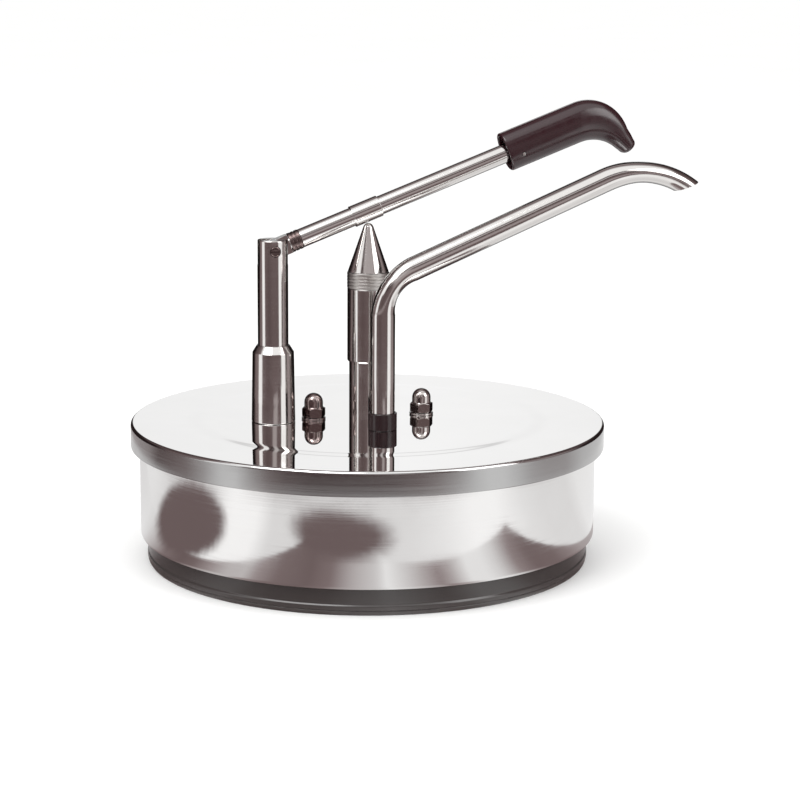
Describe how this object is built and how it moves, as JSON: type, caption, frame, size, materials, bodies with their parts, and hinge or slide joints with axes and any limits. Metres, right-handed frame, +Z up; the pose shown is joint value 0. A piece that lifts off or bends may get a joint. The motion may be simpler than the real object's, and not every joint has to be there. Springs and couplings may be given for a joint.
{
  "type": "condiment pump dispenser",
  "caption": "Low round steel condiment pot whose lid carries a lever-worked piston pump with a pointed press cap and a tall bent spout.",
  "frame": {"origin": "centre of the pot's underside, on the surface it stands on", "axes": "+Z up along the pump's axis, +X from the lever's post towards the grip and the spout's mouth, the spout on the -Y side"},
  "size_m": [0.3532, 0.3, 0.2879],
  "materials": {
    "polished_steel": "mirror polished",
    "turned_steel": "finely turned and polished",
    "satin_steel": "satin",
    "fastener_steel": "bright",
    "spring_steel": "drawn wire",
    "dark_rubber": "satin",
    "seal_rubber": "matt",
    "white_plastic": "matt",
    "black_plastic": "semi-gloss",
    "grip_plastic": "satin gloss"
  },
  "bodies": {
    "container": {"pot": "polished_steel", "base_ring": "dark_rubber"},
    "lid_unit": {"lid": "polished_steel", "flange_gasket": "seal_rubber", "pump_flange": "turned_steel", "flange_bolt_left": "fastener_steel", "flange_bolt_right": "fastener_steel", "washer_left": "fastener_steel", "washer_right": "fastener_steel", "acorn_nut_left": "polished_steel", "acorn_nut_right": "polished_steel", "neck_tube": "turned_steel", "guide_ring": "white_plastic", "gland_bush": "white_plastic", "rod_seal": "seal_rubber", "spring_seat": "fastener_steel", "return_spring": "spring_steel", "pump_cylinder": "turned_steel", "cylinder_seal": "seal_rubber", "valve_body": "white_plastic", "inlet_seat": "turned_steel", "inlet_stop_pin": "fastener_steel", "outlet_stop_pin": "fastener_steel", "riser_seal": "seal_rubber", "riser_nut": "turned_steel", "spout_tube": "turned_steel", "spout_collar": "black_plastic", "post_base": "turned_steel", "pivot_post": "turned_steel", "pivot_screw": "fastener_steel", "post_gasket": "seal_rubber", "post_washer": "fastener_steel", "post_bolt": "fastener_steel"},
    "plunger": {"plunger_cone": "turned_steel", "plunger_ring": "satin_steel", "plunger_sleeve": "turned_steel", "plunger_rod": "turned_steel", "piston": "white_plastic", "piston_cup": "seal_rubber", "piston_nut": "fastener_steel"},
    "lever": {"lever_end": "turned_steel", "pivot_bush": "white_plastic", "lever_locknut": "satin_steel", "lever_tube": "turned_steel", "wear_sleeve": "satin_steel", "grip": "grip_plastic", "grip_pin": "fastener_steel"},
    "inlet_valve_ball": {"inlet_ball": "fastener_steel"},
    "outlet_valve_ball": {"outlet_ball": "fastener_steel"}
  },
  "joints": [
    {"name": "lid_lift", "type": "slide", "parent": "container", "child": "lid_unit", "axis": [0, 0, 1], "range_m": [0, 0.09]},
    {"name": "lever_pivot", "type": "hinge", "parent": "lid_unit", "child": "lever", "pos_m": [-0.061, 0, 0.1975], "axis": [0, 1, 0], "range_deg": [0, 29.56]},
    {"name": "plunger_slide", "type": "slide", "parent": "lid_unit", "child": "plunger", "axis": [0, 0, -1], "range_m": [0, 0.0321], "stiffness_N_per_m": 600, "springref_m": -0.03, "deforming": ["return_spring"]},
    {"name": "inlet_ball_slide", "type": "slide", "parent": "lid_unit", "child": "inlet_valve_ball", "axis": [0, 0, 1], "range_m": [0, 0.003]},
    {"name": "outlet_ball_slide", "type": "slide", "parent": "lid_unit", "child": "outlet_valve_ball", "axis": [0, 0, 1], "range_m": [0, 0.003]}
  ],
  "couplings": [
    {"joint": "plunger_slide", "follows": "lever_pivot", "m_per_rad": 0.06203}
  ]
}
